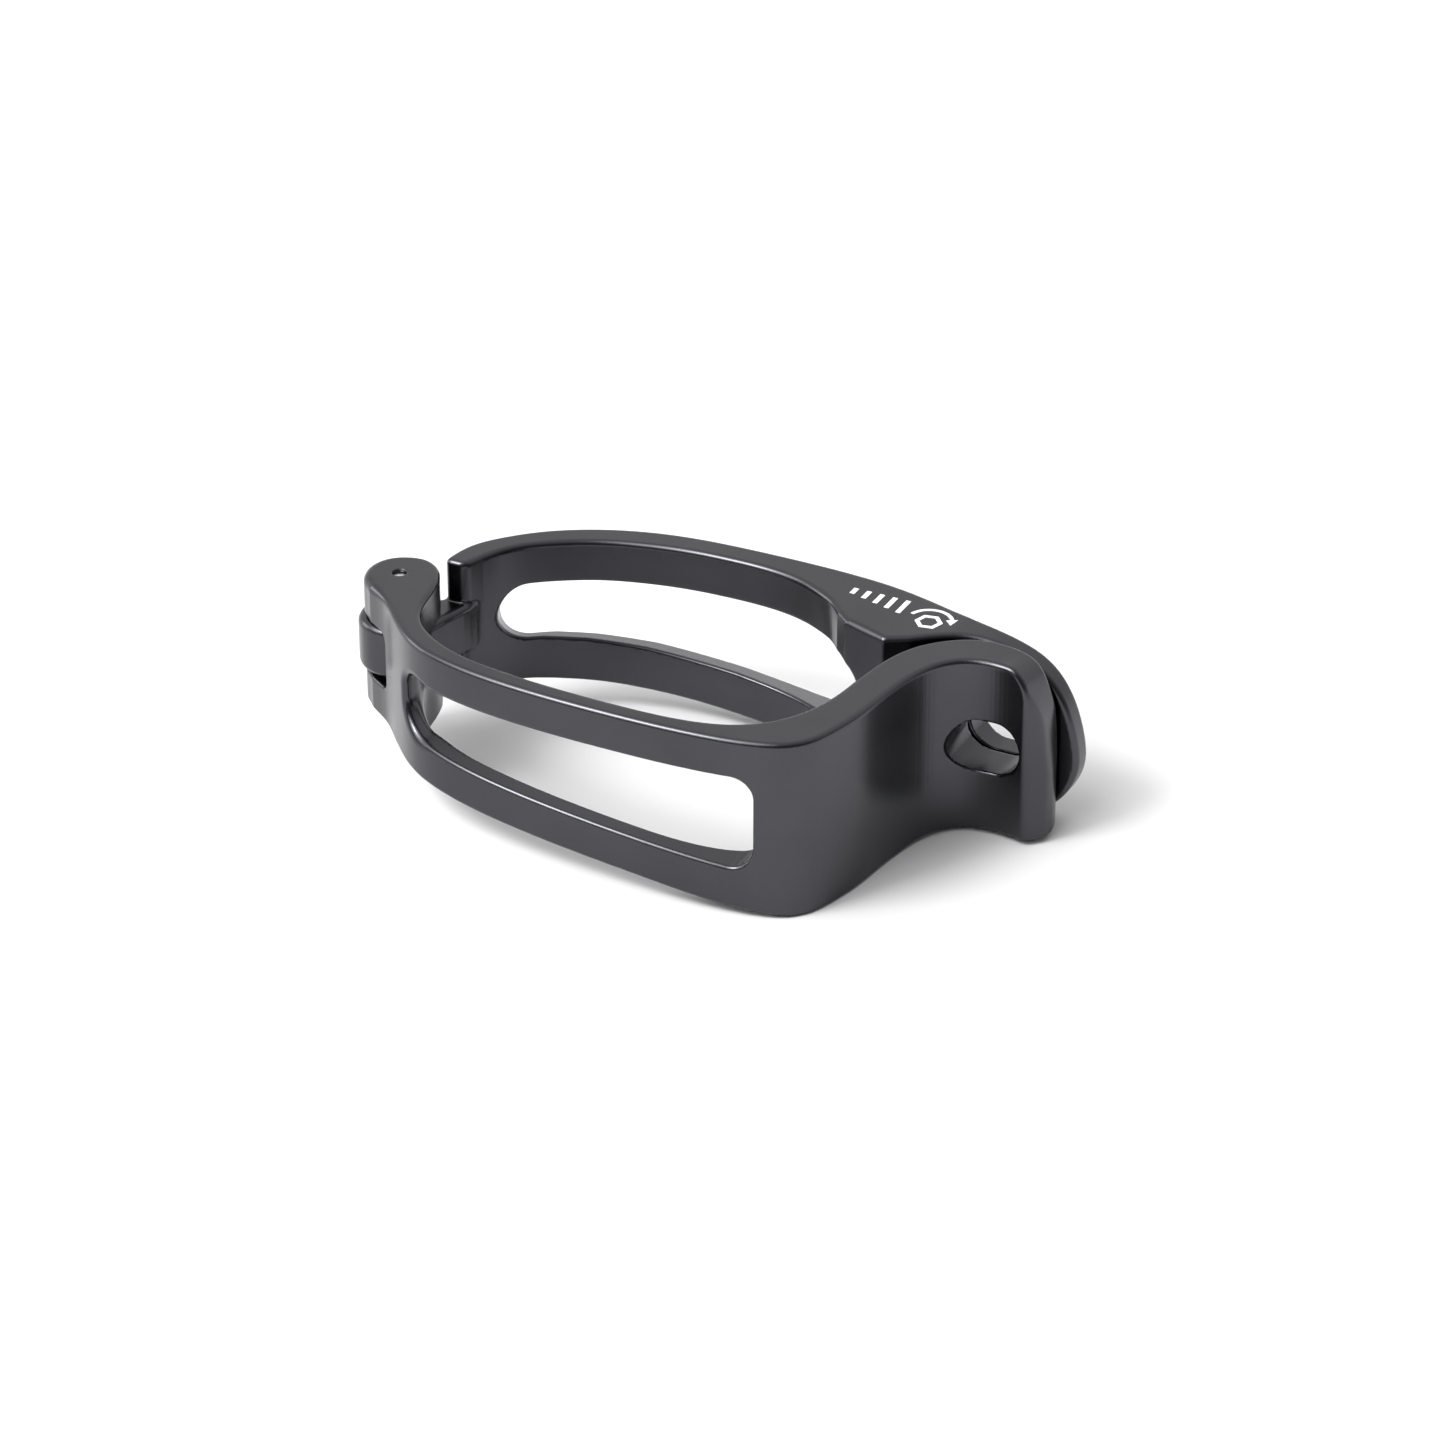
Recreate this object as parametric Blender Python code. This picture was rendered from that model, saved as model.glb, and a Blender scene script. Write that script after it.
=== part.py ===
# Hinged clamp that carries a bicycle's front derailleur on an oval (aero) seat
# tube: a front half with a hanger flange, a rear half that swings on a plain
# steel pin, and that pin.  Metres, +Z along the seat tube, +X from the hinge
# to the clamp flange, +Y from the front half to the rear half.
#
# All plan coordinates below are in millimetres from the hinge axis, with
# z = 0 at the flat upper faces of both halves.
import bpy
import bmesh
import math
import numpy as np

MM = 0.001

# ---------------------------------------------------------------- sizes (mm)
EAR_R = 4.02              # two ears of the front half round the pin
EAR_X, EAR_Y = 0.20, 0.10 # their centre, a little off the pin's
KNUCKLE_R = 4.50          # middle knuckle of the rear half
NOTCH_R = 5.7             # clearance cut between the two ears
EAR_TOP_H = 4.6           # upper ear
KNUCKLE_TOP = -4.86       # middle knuckle, top and bottom
KNUCKLE_BOTTOM = -10.62
EAR_LOW_TOP = -11.05      # top of the lower ear

PIN_R = 1.25
PIN_BORE_R = 1.30         # running fit, 0.05 mm a side
PIN_TOP = -1.30
BORE_TOP = -1.10          # blind bore, drilled from below
PIN_BOTTOM = -14.35
DRIFT_R = 0.75            # small hole above the pin, which its thin tip nearly fills
TIP_R = 0.70
TIP_TOP = -0.32

FULL_H = 20.35            # height of the end wall
FLANGE_H = 19.88          # height of the flanges, which hang less low
WEDGE_LOW = 0.27          # the slope is this much lower towards the end wall
SLOPE_0 = 15.05           # height of the sloped underside at the hinge
SLOPE_X = 0.100           # growth of that height per mm along X
SLOPE_Y = 0.034           # and per mm along Y

WIN_TOP = -4.45           # upper edge of both windows
FRONT_WIN = (7.4, 48.9)   # front window along X
FRONT_SILL = 4.15         # lower rail under it
REAR_WIN = (6.0, 48.0)    # rear window along X
REAR_SILL = 4.60
SILL_LIFT = 0.35          # its sill rises a little towards the hinge
WIN_R = 2.8               # corner radius at the flange end
WIN_R_HINGE = 3.4         # corner radius at the hinge end

FLANGE_NEAR = 10.3        # hanger flange, concave face
FLANGE_BACK = 15.05       # its flat back face
CLAMP_FACE = 15.40        # flat face of the rear flange, 0.35 mm behind it
CLAMP_BACK = 18.10        # outer face of the rear flange
NOSE_END = 71.10          # end of the rear flange

SLOT_X = 62.85            # bolt slot centre, both flanges
SLOT_Z = -9.90
SLOT_R = 2.95             # half its height: a 5 mm bolt with play
SLOT_HALF = 3.92          # half its length

# the assembly's box, for an origin at its centre
BOX_LOW = (-KNUCKLE_R, -16.30, -FULL_H)
BOX_HIGH = (NOSE_END, 21.70, 0.0)
CENTRE = tuple(0.5 * (a + b) for a, b in zip(BOX_LOW, BOX_HIGH))


# ---------------------------------------------------------------- 2-D curves
def spline(points, step=1.0):
    """Natural cubic through the points, read every step or so."""
    p = np.array(points, float)
    n = len(p)
    t = np.concatenate([[0.0], np.cumsum(np.hypot(*np.diff(p, axis=0).T))])
    h = np.diff(t)
    a = np.zeros((n, n))
    b = np.zeros((n, 2))
    a[0, 0] = a[-1, -1] = 1.0
    for i in range(1, n - 1):
        a[i, i - 1], a[i, i], a[i, i + 1] = h[i - 1], 2 * (h[i - 1] + h[i]), h[i]
        b[i] = 6 * ((p[i + 1] - p[i]) / h[i] - (p[i] - p[i - 1]) / h[i - 1])
    m = np.linalg.solve(a, b)
    out = []
    for i in range(n - 1):
        k = max(1, int(round(h[i] / step)))
        for j in range(k):
            s = h[i] * j / k
            q = h[i] - s
            out.append((m[i] * q ** 3 + m[i + 1] * s ** 3) / (6 * h[i])
                       + (p[i] / h[i] - m[i] * h[i] / 6) * q
                       + (p[i + 1] / h[i] - m[i + 1] * h[i] / 6) * s)
    out.append(p[-1])
    return [tuple(v) for v in out]


def rounded(vertices, turn=15.0, steps=None):
    """Polygon whose vertices (x, y, r) are rounded with radius r."""
    out = []
    n = len(vertices)
    for i, v in enumerate(vertices):
        r = v[2] if len(v) > 2 else 0.0
        c = np.array(v[:2], float)
        if r <= 0:
            out.append(tuple(c))
            continue
        a = np.array(vertices[i - 1][:2], float) - c
        b = np.array(vertices[(i + 1) % n][:2], float) - c
        la, lb = np.hypot(*a), np.hypot(*b)
        a, b = a / la, b / lb
        half = 0.5 * math.acos(max(-1.0, min(1.0, float(a @ b))))
        d = r / math.tan(half)
        cen = c + (a + b) / np.hypot(*(a + b)) * (r / math.sin(half))
        p0, p1 = c + a * d, c + b * d
        a0 = math.atan2(*(p0 - cen)[::-1])
        a1 = math.atan2(*(p1 - cen)[::-1])
        sweep = (a1 - a0 + math.pi) % (2 * math.pi) - math.pi
        k = steps or max(1, int(math.ceil(abs(math.degrees(sweep)) / turn)))
        out += [tuple(cen + r * np.array([math.cos(a0 + sweep * j / k), math.sin(a0 + sweep * j / k)]))
                for j in range(k + 1)]
    return out


def arc(cx, cy, r, start, end, n):
    return [(cx + r * math.cos(math.radians(start + (end - start) * i / n)),
             cy + r * math.sin(math.radians(start + (end - start) * i / n))) for i in range(n + 1)]


# Front half, seen from above.  From the ears' outer side, along the flank of
# the oval, round the end wall and the concave seat, and out to the lip.
FRONT_FLANK = [(-1.45, -3.87), (-0.6, -4.42), (0.4, -5.07), (1.4, -5.82), (2.4, -6.77), (3.6, -8.07), (4.9, -9.42),
               (6.3, -10.77), (8.0, -12.12), (9.9, -13.22), (12.8, -14.32), (20.7, -15.77),
               (32.0, -16.30), (43.0, -15.95), (49.0, -15.0), (52.3, -13.55), (53.9, -11.7),
               (54.95, -9.0), (55.8, -5.5), (56.35, -1.0), (56.85, 2.6), (57.6, 5.6), (58.95, 8.3),
               (61.0, 9.95), (63.6, FLANGE_NEAR)]
# The hanger flange ends in a bow, from the crease where the seat stops.
FLANGE_BOW = [(67.66, FLANGE_NEAR), (68.1, 10.62), (68.97, 11.25), (69.33, 11.76), (69.45, 12.3), (69.48, 12.9), (69.41, 13.6),
              (69.23, 14.35), (68.98, FLANGE_BACK)]
# The same half from the inside: the tube seat, from the flange back to the ears.
FRONT_SEAT = [(61.6, FLANGE_BACK), (59.3, 14.45), (56.9, 12.9), (55.0, 10.8), (53.75, 8.4), (52.85, 5.0),
              (52.3, 1.0), (52.0, -1.6), (51.35, -4.6), (50.1, -7.6), (47.9, -10.45), (45.0, -12.35),
              (41.0, -13.5), (34.0, -13.95), (26.5, -13.8), (19.3, -13.15), (14.0, -12.05), (10.3, -10.4),
              (7.4, -8.1), (5.9, -5.6), (5.3, -3.2), (4.85, -1.0), (4.35, 0.7)]
# Rear half: the outer flank, from the hinge end to the clamp flange.
REAR_FLANK = [(2.80, 5.6), (3.15, 7.6), (4.1, 9.9), (5.9, 12.25), (8.2, 14.55), (10.9, 16.55), (14.0, 18.25),
              (18.0, 19.8), (23.0, 20.95), (30.0, 21.55), (37.0, 21.70), (43.0, 21.5), (48.5, 20.85),
              (53.0, 19.75), (57.5, 18.55), (61.0, CLAMP_BACK)]
# Rear half: the tube seat, from the wedge at the flange end back to the hinge.
REAR_SEAT = [(44.5, 13.2), (43.2, 14.6), (41.0, 16.1), (38.1, 17.4), (34.5, 18.15), (30.0, 18.30), (24.0, 17.85),
             (19.5, 16.9), (15.4, 15.5), (11.8, 13.5), (8.9, 11.3), (7.1, 9.1), (6.1, 7.0)]


def front_plan():
    ear = arc(EAR_X, EAR_Y, EAR_R, 25, 232, 22)
    return ear + spline(FRONT_FLANK, 1.6) + FLANGE_BOW + spline(FRONT_SEAT, 1.6)


def rear_plan():
    end = rounded([(6.1, 7.0), (5.25, 4.58, 1.2), (2.75, 4.58, 0.7), (2.80, 5.6)], 30)[1:-1]
    # the clamp face follows the front half's shoulder, then lies flat
    face = spline([(62.0, CLAMP_FACE), (59.6, 15.1), (57.4, 14.3), (55.3, 12.9), (53.4, 11.3)], 1.6)
    nub = rounded([(53.4, 11.3), (51.2, 10.15, 0.5), (46.1, 11.85, 0.8), (44.5, 13.2)], 30)[1:-1]
    return (spline(REAR_FLANK, 1.6) + [(NOSE_END, CLAMP_BACK), (NOSE_END, CLAMP_FACE)]
            + face[:-1] + nub + spline(REAR_SEAT, 1.6) + end)


def lug_plan():
    """Middle knuckle and the lug that joins it to the rear half."""
    return arc(0, 0, KNUCKLE_R, 72, 350, 30) + [(4.75, 1.0), (5.1, 2.2), (5.5, 3.7), (6.1, 7.0), (3.2, 7.0),
                                                 (2.78, 5.0), (2.5, 4.2)]


# ---------------------------------------------------------------- mesh tools
def put(p):
    return tuple((a - c) * MM for a, c in zip(p, CENTRE))


def solid(name, rings):
    """Closed body through rings of (x, y, z) points, capped at both ends."""
    bm = bmesh.new()
    loops = [[bm.verts.new(put(p)) for p in ring] for ring in rings]
    n = len(loops[0])
    for lo, hi in zip(loops[:-1], loops[1:]):
        for i in range(n):
            bm.faces.new((lo[i], lo[(i + 1) % n], hi[(i + 1) % n], hi[i]))
    bm.faces.new(loops[0][::-1])
    bm.faces.new(loops[-1])
    bmesh.ops.recalc_face_normals(bm, faces=bm.faces)
    if bm.calc_volume(signed=True) < 0:
        bmesh.ops.reverse_faces(bm, faces=bm.faces)
    mesh = bpy.data.meshes.new(name)
    bm.to_mesh(mesh)
    bm.free()
    obj = bpy.data.objects.new(name, mesh)
    bpy.context.scene.collection.objects.link(obj)
    return obj


def prism_z(name, plan, z0, z1):
    return solid(name, [[(x, y, z0) for x, y in plan], [(x, y, z1) for x, y in plan]])


def prism_y(name, shape, y0, y1):
    """Outline in X and Z, extruded along Y."""
    return solid(name, [[(x, y0, z) for x, z in shape], [(x, y1, z) for x, z in shape]])


def cylinder(name, r, z0, z1, sides=48):
    return prism_z(name, arc(0, 0, r, 0, 360 - 360 / sides, sides - 1), z0, z1)


def boolean(obj, other, operation):
    mod = obj.modifiers.new(other.name, 'BOOLEAN')
    mod.operation = operation
    mod.solver = 'EXACT'
    mod.object = other
    other.hide_render = True
    other.display_type = 'WIRE'
    return mod


def under_slope(name, y0, y1):
    """Everything below the sloped underside, as a cutter."""
    def h(x, y, drop):
        return -(SLOPE_0 + SLOPE_X * x + SLOPE_Y * y + drop)
    xs = [(-12, 0.0), (34, 0.0), (38, 0.04), (41, 0.135), (44, 0.22), (48, WEDGE_LOW), (58, WEDGE_LOW)]
    rings = []
    for y in (y0, y1):
        rings.append([(x, y, h(x, y, drop)) for x, drop in xs] + [(58, y, -32), (-12, y, -32)])
    return solid(name, rings)


def flange_underside(name):
    """The level underside rises from the end wall to the flanges."""
    rise = (FULL_H - FLANGE_H) / 7.0
    shape = [(-5.0, -FULL_H - 7.0 * rise), (9.0, -FLANGE_H), (40, -FLANGE_H), (40, -34), (-5.0, -34)]
    return solid(name, [[(x, y, z) for y, z in shape] for x in (-15, 80)])


def window(name, ends, y_mid, sill, y0, y1, r_top=2.2, r_low=WIN_R_HINGE):
    """Rounded window: level top edge, lower edge parallel to the underside."""
    x0, x1 = ends

    def low(x):
        return -(SLOPE_0 + SLOPE_X * x + SLOPE_Y * y_mid) + sill
    knee = (FLANGE_H - SLOPE_0 - SLOPE_Y * y_mid) / SLOPE_X
    shape = [(x0, WIN_TOP, r_top), (x0, low(x0), r_low)]
    if knee < x1 - 4:
        shape += [(knee, -FLANGE_H + sill, 0)]
        shape += [(x1, -FLANGE_H + sill, WIN_R)]
    else:
        shape += [(x1, low(x1), WIN_R)]
    shape += [(x1, WIN_TOP, WIN_R)]
    return prism_y(name, rounded(shape, 18), y0, y1)


def skewed_window(name, ends, y_mid, sill, y0, y1):
    """The same, with a hinge end that crosses the wall at right angles and so
    leans towards -X as it goes outwards."""
    x0, x1 = ends

    def low(x):
        return -(SLOPE_0 + SLOPE_X * x + SLOPE_Y * y_mid) + sill
    knee = (FLANGE_H - SLOPE_0 - SLOPE_Y * y_mid) / SLOPE_X
    rings = []
    for y in (y0, y1):
        # X of the end where it meets this Y
        e = (9.75 - 0.41 * y) / 0.91
        shape = [(e, WIN_TOP, 3.0), (e, low(e) + SILL_LIFT, 3.0), (20.0, low(20.0), 0),
                 (knee, -FLANGE_H + sill, 0), (x1, -FLANGE_H + sill, WIN_R), (x1, WIN_TOP, WIN_R)]
        rings.append([(x, y, z) for x, z in rounded(shape, steps=5)])
    return solid(name, rings)


def stadium(x, z, r, half, turn=15):
    k = int(180 / turn)
    return ([(x + half - r + r * math.cos(math.radians(-90 + 180 * i / k)),
              z + r * math.sin(math.radians(-90 + 180 * i / k))) for i in range(k + 1)]
            + [(x - half + r + r * math.cos(math.radians(90 + 180 * i / k)),
                z + r * math.sin(math.radians(90 + 180 * i / k))) for i in range(k + 1)])


def material(name, colour, rough, metal):
    mat = bpy.data.materials.new(name)
    mat.use_nodes = True
    node = mat.node_tree.nodes['Principled BSDF']
    node.inputs['Base Color'].default_value = (*colour, 1.0)
    node.inputs['Roughness'].default_value = rough
    node.inputs['Metallic'].default_value = metal
    return mat


def finish(obj, mat):
    obj.data.materials.append(mat)
    obj.data.shade_smooth()
    obj.data.set_sharp_from_angle(angle=math.radians(32))
    # origin on the hinge axis, where the rear half turns
    axis = put((0, 0, 0))
    for v in obj.data.vertices:
        v.co.x -= axis[0]
        v.co.y -= axis[1]
        v.co.z -= axis[2]
    obj.location = axis


def main():
    for obj in list(bpy.data.objects):
        bpy.data.objects.remove(obj, do_unlink=True)

    anodised_front = material('black_anodised_front', (0.098, 0.098, 0.107), 0.42, 0.75)
    anodised_rear = material('black_anodised_rear', (0.092, 0.092, 0.100), 0.44, 0.75)
    steel = material('bright_steel', (0.62, 0.61, 0.60), 0.28, 1.0)

    # ---- front half: hanger flange, end wall, windowed flank, two hinge ears
    front = prism_z('hanger_jaw', front_plan(), -FULL_H, 0.0)
    cuts = [under_slope('front_underside', -30, 30),
            flange_underside('front_flange_underside'),
            window('front_window', FRONT_WIN, -15.5, FRONT_SILL, -25, -6.2)]
    # clevis slot between the ears
    clevis = prism_z('clevis_slot', arc(0, 0, NOTCH_R, -130, 25, 22) + [(6.2, 6.5), (-6.5, 6.5), (-6.5, -4.0)],
                     EAR_LOW_TOP, -EAR_TOP_H)
    cuts.append(clevis)
    cuts.append(cylinder('pin_bore_front', PIN_BORE_R, -18, BORE_TOP, 40))
    cuts.append(cylinder('drift_hole', DRIFT_R, -2.0, 1.0, 24))
    cuts.append(prism_y('bolt_slot_front', stadium(SLOT_X, SLOT_Z, SLOT_R, SLOT_HALF), 4.0, 17.0))
    # the flange's upper outer corner is rounded, wider on its back than in front
    near = [(64.6, 0.0), (65.6, -0.10), (66.2, -0.40), (66.75, -0.97), (67.2, -1.69), (67.62, -2.67)]
    back = [(61.8, 0.0), (64.45, -0.24), (65.6, -0.59), (66.7, -1.27), (67.2, -1.90), (67.57, -2.47)]
    tail = [(68.27, -4.17), (68.64, -5.25), (68.97, -6.93), (69.28, -9.3), (69.6, -10.6), (76, -10.6)]

    def ring(y, t):
        top = [(a[0] + (b[0] - a[0]) * t, y, a[1] + (b[1] - a[1]) * t) for a, b in zip(near, back)]
        return ([(top[0][0], y, 3.0)] + top + [(x, y, z) for x, z in tail] + [(76, y, 3.0)])
    corner = solid('flange_corner', [ring(6.0, 0.0), ring(FLANGE_NEAR, 0.0), ring(FLANGE_BACK, 1.0), ring(17.0, 1.0)])
    cuts.append(corner)
    for c in cuts:
        boolean(front, c, 'DIFFERENCE')

    # ---- rear half: middle knuckle, windowed flank, wedge, clamp flange
    rear = prism_z('clamp_jaw', rear_plan(), -FULL_H, 0.0)
    lug = prism_z('lug', lug_plan(), KNUCKLE_BOTTOM, KNUCKLE_TOP)
    boolean(rear, under_slope('rear_underside', -40, 40), 'DIFFERENCE')
    boolean(rear, flange_underside('rear_flange_underside'), 'DIFFERENCE')
    boolean(rear, lug, 'UNION')
    boolean(rear, skewed_window('rear_window', REAR_WIN, 17.0, REAR_SILL, 6.0, 22.6), 'DIFFERENCE')
    boolean(rear, cylinder('pin_bore_rear', PIN_BORE_R, -18, 2, 40), 'DIFFERENCE')
    boolean(rear, prism_y('bolt_slot_rear', stadium(SLOT_X, SLOT_Z, SLOT_R, SLOT_HALF), 12.0, 25.0), 'DIFFERENCE')
    # rounded nose: the flange ends in a bow, highest near the middle
    nose = spline([(57.0, 0.0), (60.5, -0.33), (63.8, -1.09), (66.1, -2.08), (67.85, -3.48), (69.3, -5.53),
                   (70.34, -8.1), (70.93, -10.6), (NOSE_END, -12.4), (70.83, -14.3), (69.98, -16.2),
                   (68.42, -18.12), (66.3, -19.42), (63.5, -FLANGE_H)], 1.2)
    boolean(rear, prism_y('nose', nose + [(63.5, -24), (76, -24), (76, 4), (57.0, 4)], 12.0, 25.0), 'DIFFERENCE')

    # ---- hinge pin
    pin = solid('hinge_pin', [[(r * x, r * y, z) for x, y in arc(0, 0, 1.0, 0, 360 - 9, 39)]
                              for r, z in ((PIN_R - 0.25, PIN_BOTTOM), (PIN_R, PIN_BOTTOM + 0.25),
                                           (PIN_R, PIN_TOP - 0.25), (PIN_R - 0.25, PIN_TOP),
                                           (TIP_R, PIN_TOP), (TIP_R, TIP_TOP))])

    finish(front, anodised_front)
    finish(rear, anodised_rear)
    finish(pin, steel)


main()
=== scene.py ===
import math

import bmesh
import bpy
import numpy as np
from mathutils import Matrix, Vector


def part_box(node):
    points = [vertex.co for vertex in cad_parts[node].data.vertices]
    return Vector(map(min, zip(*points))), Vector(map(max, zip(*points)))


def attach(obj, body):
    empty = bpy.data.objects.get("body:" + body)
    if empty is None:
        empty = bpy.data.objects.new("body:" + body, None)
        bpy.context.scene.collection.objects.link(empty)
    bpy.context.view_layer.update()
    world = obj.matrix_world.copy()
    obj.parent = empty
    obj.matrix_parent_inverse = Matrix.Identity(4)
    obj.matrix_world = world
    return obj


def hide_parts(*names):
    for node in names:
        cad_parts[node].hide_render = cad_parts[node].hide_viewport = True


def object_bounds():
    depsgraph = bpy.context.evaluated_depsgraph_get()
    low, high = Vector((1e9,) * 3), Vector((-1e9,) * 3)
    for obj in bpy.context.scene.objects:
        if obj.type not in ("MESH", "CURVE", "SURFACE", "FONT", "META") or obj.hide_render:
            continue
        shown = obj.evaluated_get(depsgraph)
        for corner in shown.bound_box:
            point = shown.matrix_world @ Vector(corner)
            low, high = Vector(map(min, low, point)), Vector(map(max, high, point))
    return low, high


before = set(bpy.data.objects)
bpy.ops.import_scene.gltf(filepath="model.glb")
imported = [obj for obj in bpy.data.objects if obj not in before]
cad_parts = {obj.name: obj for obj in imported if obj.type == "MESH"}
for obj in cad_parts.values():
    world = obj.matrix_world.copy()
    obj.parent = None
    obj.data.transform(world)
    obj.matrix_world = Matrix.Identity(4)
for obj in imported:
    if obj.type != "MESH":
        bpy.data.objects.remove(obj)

cad_box = [[float(c) for c in p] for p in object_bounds()]

MM = 0.001
# The CAD frame's origin is the centre of the box; the plan below is in
# millimetres from the hinge axis, with z = 0 at the upper faces.
pin_lo, pin_hi = (Vector(p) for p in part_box("hinge_pin"))
jaw_lo, jaw_hi = (Vector(p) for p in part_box("clamp_jaw"))
AXIS = Vector(((pin_lo.x + pin_hi.x) / 2, (pin_lo.y + pin_hi.y) / 2, jaw_hi.z))

# ------------------------------------------------------------- sizes (mm)
EAR_R, EAR_X, EAR_Y = 4.0, 0.20, 0.10
KNUCKLE_R = 4.47
NOTCH_R = 5.7
EAR_BOTTOM = -4.60
KNUCKLE_TOP = -4.80
KNUCKLE_BOTTOM = -10.60
LOW_EAR_TOP = -11.05
FULL_H = 20.33                 # the end wall hangs half a millimetre lower
FLANGE_H = 19.86               # than the flange
SLOPE_0, SLOPE_X, SLOPE_Y = 15.15, 0.100, 0.034
TOP = -0.03                    # the print stands on this face, inside the CAD box
WIN_TOP = -4.45
FRONT_WIN = (6.9, 48.85)
FRONT_SILL = 4.40
REAR_TOP = -4.90
REAR_WIN = (0.0, 47.7)         # its hinge end is cut by a plane across the wall
REAR_SILL = 4.72
FLANGE_NEAR = 10.3
FLANGE_BACK = 15.05
CLAMP_FACE = 15.40
CLAMP_BACK = 18.08
NOSE_END = 71.08
SLOT_X, SLOT_Z, SLOT_R, SLOT_HALF = 62.95, -10.00, 2.98, 3.80
EDGE = 0.56                    # rounding of the outer edges


# ------------------------------------------------------------- 2-D outlines
def spline(points, step=0.5):
    p = np.array(points, float)
    n = len(p)
    t = np.concatenate([[0.0], np.cumsum(np.hypot(*np.diff(p, axis=0).T))])
    h = np.diff(t)
    a = np.zeros((n, n))
    b = np.zeros((n, 2))
    a[0, 0] = a[-1, -1] = 1.0
    for i in range(1, n - 1):
        a[i, i - 1], a[i, i], a[i, i + 1] = h[i - 1], 2 * (h[i - 1] + h[i]), h[i]
        b[i] = 6 * ((p[i + 1] - p[i]) / h[i] - (p[i] - p[i - 1]) / h[i - 1])
    m = np.linalg.solve(a, b)
    out = []
    for i in range(n - 1):
        k = max(1, int(round(h[i] / step)))
        for j in range(k):
            s = h[i] * j / k
            q = h[i] - s
            out.append((m[i] * q ** 3 + m[i + 1] * s ** 3) / (6 * h[i])
                       + (p[i] / h[i] - m[i] * h[i] / 6) * q
                       + (p[i + 1] / h[i] - m[i + 1] * h[i] / 6) * s)
    out.append(p[-1])
    return [tuple(v) for v in out]


def rounded(vertices, turn=5.0):
    out = []
    n = len(vertices)
    for i, v in enumerate(vertices):
        r = v[2] if len(v) > 2 else 0.0
        c = np.array(v[:2], float)
        if r <= 0:
            out.append(tuple(c))
            continue
        a = np.array(vertices[i - 1][:2], float) - c
        b = np.array(vertices[(i + 1) % n][:2], float) - c
        a, b = a / np.hypot(*a), b / np.hypot(*b)
        half = 0.5 * math.acos(max(-1.0, min(1.0, float(a @ b))))
        cen = c + (a + b) / np.hypot(*(a + b)) * (r / math.sin(half))
        p0, p1 = c + a * (r / math.tan(half)), c + b * (r / math.tan(half))
        a0 = math.atan2(*(p0 - cen)[::-1])
        a1 = math.atan2(*(p1 - cen)[::-1])
        sweep = (a1 - a0 + math.pi) % (2 * math.pi) - math.pi
        k = max(1, int(math.ceil(abs(math.degrees(sweep)) / turn)))
        out += [tuple(cen + r * np.array([math.cos(a0 + sweep * j / k), math.sin(a0 + sweep * j / k)]))
                for j in range(k + 1)]
    return out


def arc(cx, cy, r, start, end, n):
    return [(cx + r * math.cos(math.radians(start + (end - start) * i / n)),
             cy + r * math.sin(math.radians(start + (end - start) * i / n))) for i in range(n + 1)]


FRONT_FLANK = [(-1.45, -3.85), (-0.6, -4.4), (0.4, -5.05), (1.4, -5.8), (2.4, -6.75), (3.6, -8.05), (4.9, -9.4),
               (6.3, -10.75), (8.0, -12.1), (9.9, -13.2), (12.8, -14.3), (20.7, -15.75),
               (32.0, -16.28), (43.0, -15.95), (49.0, -15.0), (52.3, -13.55), (53.9, -11.7),
               (54.95, -9.0), (55.8, -5.5), (56.35, -1.0), (56.85, 2.6), (57.6, 5.6), (58.95, 8.3),
               (61.0, 9.98), (63.2, 10.48), (65.3, 10.40), (67.15, 10.06)]
# the flange ends in a bow, with a soft crease where the hollow hanger seat meets it
FLANGE_BOW = [(67.45, 10.06), (67.75, 10.16), (68.1, 10.42), (68.5, 10.80), (68.98, 11.27), (69.3, 11.76), (69.42, 12.3), (69.45, 12.9),
              (69.38, 13.6), (69.2, 14.35), (68.95, FLANGE_BACK)]
FRONT_SEAT = [(61.6, FLANGE_BACK), (59.3, 14.45), (56.9, 12.9), (55.0, 10.8), (53.75, 8.4), (52.85, 5.0),
              (52.3, 1.0), (52.0, -1.6), (51.35, -4.6), (50.1, -7.6), (47.9, -10.45), (45.0, -12.35),
              (41.0, -13.5), (34.0, -13.95), (26.5, -13.8), (19.3, -13.15), (14.0, -12.05), (10.3, -10.4),
              (7.4, -8.1), (5.9, -5.6), (5.3, -3.2), (4.85, -1.0), (4.35, 0.7)]
REAR_FLANK = [(2.80, 5.6), (3.15, 7.6), (4.1, 9.9), (5.9, 12.25), (8.2, 14.55), (10.9, 16.55), (14.0, 18.25),
              (18.0, 19.8), (23.0, 20.95), (30.0, 21.55), (37.0, 21.68), (43.0, 21.5), (48.5, 20.85),
              (53.0, 19.75), (57.2, 18.62), (60.3, 18.18), (63.0, CLAMP_BACK), (66.0, CLAMP_BACK)]
REAR_SEAT = [(44.5, 13.2), (43.2, 14.6), (41.0, 16.1), (38.1, 17.4), (34.5, 18.15), (30.0, 18.30), (24.0, 17.85),
             (19.5, 16.9), (15.4, 15.5), (11.8, 13.5), (8.9, 11.3), (7.1, 9.1), (6.1, 7.0)]

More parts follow.
